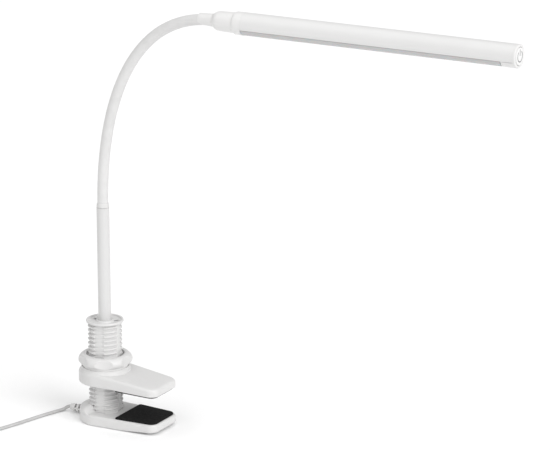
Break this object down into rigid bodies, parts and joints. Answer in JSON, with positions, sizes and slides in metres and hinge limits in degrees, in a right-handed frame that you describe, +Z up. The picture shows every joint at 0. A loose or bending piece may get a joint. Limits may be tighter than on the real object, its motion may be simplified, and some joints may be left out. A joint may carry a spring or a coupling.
{
  "type": "clip-on reading lamp",
  "caption": "Clip-on reading lamp with a hand-nut screw clamp, rigid stem, bendable gooseneck, slim tubular LED head with an end button, and a thin USB lead.",
  "frame": {"origin": "on the screw post's axis, in the flat underside of the lower jaw's bottom cover", "axes": "+X points out of the clamp's mouth and along the head, +Y across the jaws, +Z up along the post and the stem"},
  "size_m": [0.6092, 0.1585, 0.4548],
  "materials": {
    "white_plastic": "satin moulded white ABS",
    "white_gloss": "smooth white push button",
    "white_steel": "white powder-coated steel tube",
    "white_aluminium": "white powder-coated aluminium extrusion",
    "sheath": "matt white silicone sheath over a wound steel core",
    "black_foam": "fine-grained black non-slip rubber",
    "lead_jacket": "smooth pale grey PVC jacket",
    "steel": "zinc-plated steel",
    "bare_aluminium": "plain aluminium",
    "milky": "milky light-diffusing polycarbonate",
    "slick_white": "natural low-friction nylon",
    "board_white": "white solder mask",
    "board_green": "green solder mask",
    "phosphor": "yellow LED phosphor",
    "black_plastic": "plain black plastic",
    "red_insulation": "red wire insulation",
    "black_insulation": "black wire insulation"
  },
  "bodies": {
    "base": {"lower_jaw": "white_plastic", "bottom_cover": "white_plastic", "cover_screw_1": "steel", "cover_screw_2": "steel", "cover_screw_3": "steel", "cover_screw_4": "steel", "lower_pad": "black_foam", "threaded_post": "white_plastic", "post_cap": "white_plastic", "cap_screw_1": "steel", "cap_screw_2": "steel", "stem_tube": "white_steel", "stem_lock_ring": "bare_aluminium", "stem_bush": "white_plastic", "neck_root": "sheath", "strain_relief": "white_plastic", "lead": "lead_jacket", "lead_coil": "lead_jacket", "lead_tail": "lead_jacket", "plug_body": "white_plastic", "plug_shell": "steel"},
    "jaw": {"upper_jaw": "white_plastic", "upper_pad": "black_foam", "thrust_ring": "slick_white"},
    "nut": {"hand_nut": "white_plastic"},
    "neck_1": {"neck_link_1": "sheath"},
    "neck_2": {"neck_link_2": "sheath"},
    "neck_3": {"neck_link_3": "sheath"},
    "neck_4": {"neck_link_4": "sheath"},
    "neck_5": {"neck_link_5": "sheath"},
    "neck_6": {"neck_link_6": "sheath"},
    "neck_7": {"neck_link_7": "sheath"},
    "head": {"neck_tip": "sheath", "head_boot": "white_plastic", "head_sleeve": "white_plastic", "rear_cap": "white_plastic", "head_tube": "white_aluminium", "diffuser": "milky", "led_board": "board_white", "led_1": "phosphor", "led_2": "phosphor", "led_3": "phosphor", "led_4": "phosphor", "led_5": "phosphor", "led_6": "phosphor", "led_7": "phosphor", "led_8": "phosphor", "end_cap": "white_plastic", "tact_switch": "black_plastic", "control_board": "board_green", "board_lead_red": "red_insulation", "board_lead_black": "black_insulation"},
    "button": {"button": "white_gloss"}
  },
  "joints": [
    {"name": "jaw_slide", "type": "slide", "parent": "base", "child": "jaw", "axis": [0, 0, 1], "range_m": [-0.02349, 0.03365]},
    {"name": "nut_turn", "type": "hinge", "parent": "jaw", "child": "nut", "pos_m": [0, 0, 0.068], "axis": [0, 0, 1], "range_deg": [-1800, 2580]},
    {"name": "neck_pitch_1", "type": "hinge", "parent": "base", "child": "neck_1", "pos_m": [0.00042, 0, 0.25399], "axis": [0, 1, 0], "range_deg": [-25, 20]},
    {"name": "neck_side_1", "type": "hinge", "parent": "neck_1", "child": "neck_2", "pos_m": [0.00314, 0, 0.28687], "axis": [-0.9922, 0, 0.1245], "range_deg": [-20, 20]},
    {"name": "neck_pitch_2", "type": "hinge", "parent": "neck_2", "child": "neck_3", "pos_m": [0.00884, 0, 0.31936], "axis": [0, 1, 0], "range_deg": [-25, 20]},
    {"name": "neck_side_2", "type": "hinge", "parent": "neck_3", "child": "neck_4", "pos_m": [0.01821, 0, 0.35098], "axis": [-0.9375, 0, 0.3481], "range_deg": [-20, 20]},
    {"name": "neck_pitch_3", "type": "hinge", "parent": "neck_4", "child": "neck_5", "pos_m": [0.03214, 0, 0.38085], "axis": [0, 1, 0], "range_deg": [-25, 20]},
    {"name": "neck_side_3", "type": "hinge", "parent": "neck_5", "child": "neck_6", "pos_m": [0.05164, 0, 0.40739], "axis": [-0.7306, 0, 0.6828], "range_deg": [-20, 20]},
    {"name": "neck_pitch_4", "type": "hinge", "parent": "neck_6", "child": "neck_7", "pos_m": [0.07719, 0, 0.42809], "axis": [0, 1, 0], "range_deg": [-25, 20]},
    {"name": "neck_side_4", "type": "hinge", "parent": "neck_7", "child": "head", "pos_m": [0.10772, 0, 0.44028], "axis": [-0.2241, 0, 0.9746], "range_deg": [-20, 20]},
    {"name": "button_press", "type": "slide", "parent": "head", "child": "button", "axis": [-1, 0, 0], "range_m": [0, 0.0008], "stiffness_N_per_m": 1500}
  ],
  "couplings": [
    {"joint": "nut_turn", "follows": "jaw_slide", "rad_per_m": 1336.8}
  ]
}
